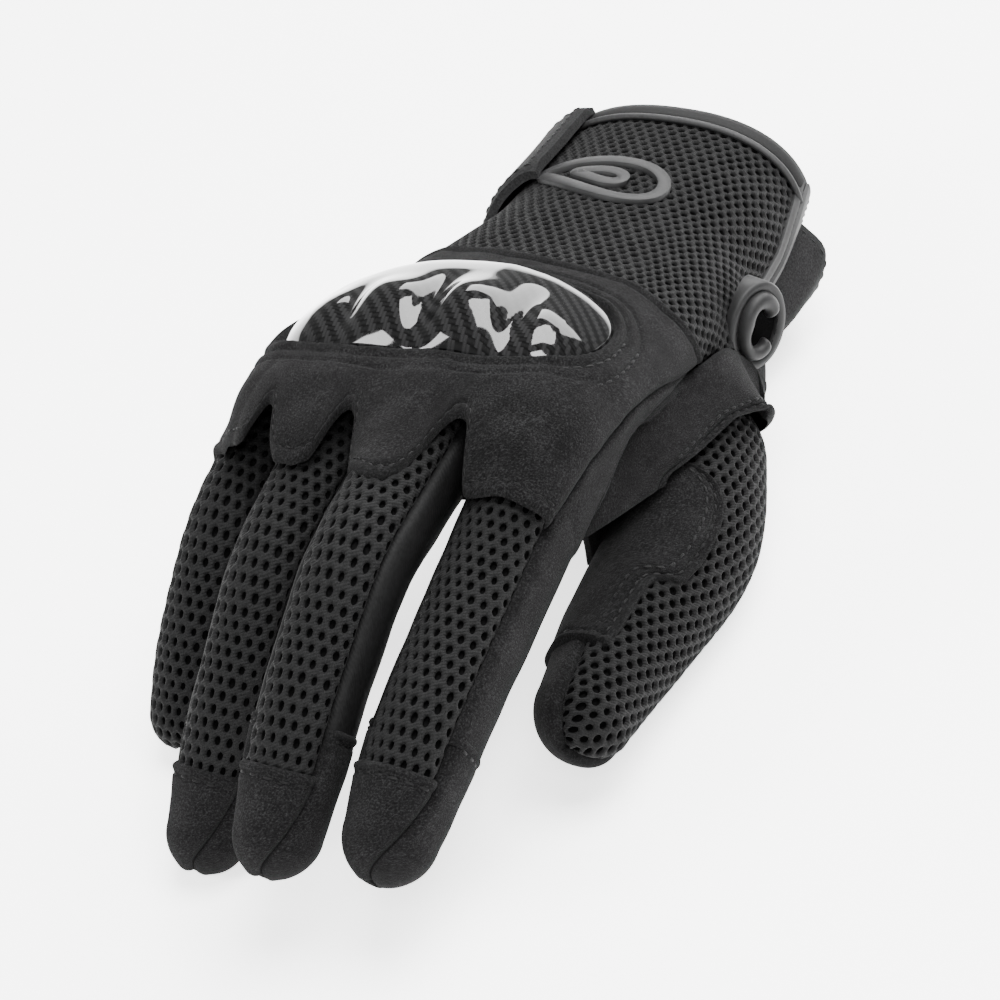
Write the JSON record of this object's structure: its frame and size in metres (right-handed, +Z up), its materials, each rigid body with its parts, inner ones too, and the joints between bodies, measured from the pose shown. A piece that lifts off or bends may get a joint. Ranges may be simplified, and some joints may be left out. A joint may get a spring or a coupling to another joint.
{
  "type": "riding glove",
  "caption": "Short-cuff riding glove for the right hand, with a hard knuckle guard, mesh back, suede palm, wrist strap and flexing fingers and thumb.",
  "frame": {"origin": "centre of the bounding box, on the surface that the glove lies on", "axes": "+Z up out of the back of the hand, -Y along the fingers, +Y towards the cuff, +X to the thumb side"},
  "size_m": [0.108, 0.2294, 0.0781],
  "materials": {
    "air_mesh": "spacer mesh with open cells over a dark lining",
    "suede": "synthetic suede, short matt nap",
    "stretch": "fine stretch twill",
    "carbon": "twill carbon weave under a clear coat",
    "rubber": "satin moulded rubber",
    "foam": "soft foam pad",
    "binding": "smooth neoprene edging",
    "piping": "grey moulded piping",
    "fastener": "hook and loop"
  },
  "bodies": {
    "strap": {"closure_strap": "suede", "hook_patch": "fastener", "strap_pull_tab": "suede"},
    "hand": {"cuff_back_mesh": "air_mesh", "cuff_badge": "rubber", "cuff_side_panel": "suede", "guard_foam": "foam", "hem_binding": "binding", "hem_piping": "piping", "knuckle_guard": "carbon", "knuckle_panel": "suede", "little_side_panel": "suede", "loop_patch": "fastener", "palm_finger_patch": "suede", "palm_heel_patch": "suede", "palm_panel": "suede", "slit_binding": "binding", "slit_ring": "rubber", "thumb_root_back": "air_mesh", "thumb_root_palm": "suede", "thumb_side_gusset": "suede"},
    "index_base": {"index_base_back": "air_mesh", "index_base_little_side": "stretch", "index_base_palm": "suede", "index_base_thumb_side": "suede"},
    "index_tip": {"index_tip_back": "air_mesh", "index_tip_cap": "suede", "index_tip_little_side": "stretch", "index_tip_palm": "suede", "index_tip_thumb_side": "suede"},
    "middle_base": {"middle_base_back": "air_mesh", "middle_base_little_side": "stretch", "middle_base_palm": "suede", "middle_base_thumb_side": "stretch"},
    "middle_tip": {"middle_tip_back": "air_mesh", "middle_tip_cap": "suede", "middle_tip_little_side": "stretch", "middle_tip_palm": "suede", "middle_tip_thumb_side": "stretch"},
    "pinky_base": {"pinky_base_back": "air_mesh", "pinky_base_palm": "suede", "pinky_base_thumb_side": "stretch"},
    "pinky_tip": {"pinky_tip_back": "air_mesh", "pinky_tip_palm": "suede", "pinky_tip_thumb_side": "stretch"},
    "ring_base": {"ring_base_back": "air_mesh", "ring_base_little_side": "stretch", "ring_base_palm": "suede", "ring_base_thumb_side": "stretch"},
    "ring_tip": {"ring_tip_back": "air_mesh", "ring_tip_cap": "suede", "ring_tip_little_side": "stretch", "ring_tip_palm": "suede", "ring_tip_thumb_side": "stretch"},
    "thumb_base": {"thumb_base_back": "air_mesh", "thumb_base_palm": "suede", "thumb_web_patch": "suede"},
    "thumb_tip": {"thumb_tip_back": "air_mesh", "thumb_tip_palm": "suede"}
  },
  "joints": [
    {"name": "index_knuckle", "type": "hinge", "parent": "hand", "child": "index_base", "pos_m": [0.02423, -0.01174, 0.05468], "axis": [0.9979, -0.025, -0.0594], "range_deg": [-15, 10], "stiffness_Nm_per_rad": 0.05},
    {"name": "index_middle_joint", "type": "hinge", "parent": "index_base", "child": "index_tip", "pos_m": [0.0224, -0.05553, 0.04246], "axis": [0.9979, -0.025, -0.0594], "range_deg": [-20, 35], "stiffness_Nm_per_rad": 0.03},
    {"name": "middle_knuckle", "type": "hinge", "parent": "hand", "child": "middle_base", "pos_m": [0.00244, -0.01306, 0.05866], "axis": [0.9979, -0.0083, -0.0646], "range_deg": [-15, 20], "stiffness_Nm_per_rad": 0.05},
    {"name": "middle_middle_joint", "type": "hinge", "parent": "middle_base", "child": "middle_tip", "pos_m": [0.00183, -0.06174, 0.05549], "axis": [0.9979, -0.0083, -0.0646], "range_deg": [-20, 40], "stiffness_Nm_per_rad": 0.03},
    {"name": "ring_knuckle", "type": "hinge", "parent": "hand", "child": "ring_base", "pos_m": [-0.01827, -0.00903, 0.05617], "axis": [0.9967, -0.0666, -0.0463], "range_deg": [-15, 20], "stiffness_Nm_per_rad": 0.05},
    {"name": "ring_middle_joint", "type": "hinge", "parent": "ring_base", "child": "ring_tip", "pos_m": [-0.02186, -0.054, 0.04366], "axis": [0.9967, -0.0666, -0.0463], "range_deg": [-20, 40], "stiffness_Nm_per_rad": 0.03},
    {"name": "pinky_knuckle", "type": "hinge", "parent": "hand", "child": "pinky_base", "pos_m": [-0.03734, -0.00302, 0.04981], "axis": [0.9918, -0.1246, -0.0278], "range_deg": [-15, 20], "stiffness_Nm_per_rad": 0.05},
    {"name": "pinky_middle_joint", "type": "hinge", "parent": "pinky_base", "child": "pinky_tip", "pos_m": [-0.04208, -0.03804, 0.03785], "axis": [0.9918, -0.1246, -0.0278], "range_deg": [-20, 40], "stiffness_Nm_per_rad": 0.03},
    {"name": "thumb_first_joint", "type": "hinge", "parent": "hand", "child": "thumb_base", "pos_m": [0.0397, 0.00109, 0.01541], "axis": [0.495, 0.1586, -0.8543], "range_deg": [-15, 12], "stiffness_Nm_per_rad": 0.05},
    {"name": "thumb_second_joint", "type": "hinge", "parent": "thumb_base", "child": "thumb_tip", "pos_m": [0.03839, -0.03216, 0.0152], "axis": [0.5341, -0.0558, -0.8436], "range_deg": [-15, 20], "stiffness_Nm_per_rad": 0.03},
    {"name": "strap_peel", "type": "hinge", "parent": "hand", "child": "strap", "pos_m": [0.03168, 0.08382, 0.01454], "axis": [0.02, -0.9548, 0.2967], "range_deg": [0, 100], "deforming": ["strap_pull_tab"]}
  ]
}
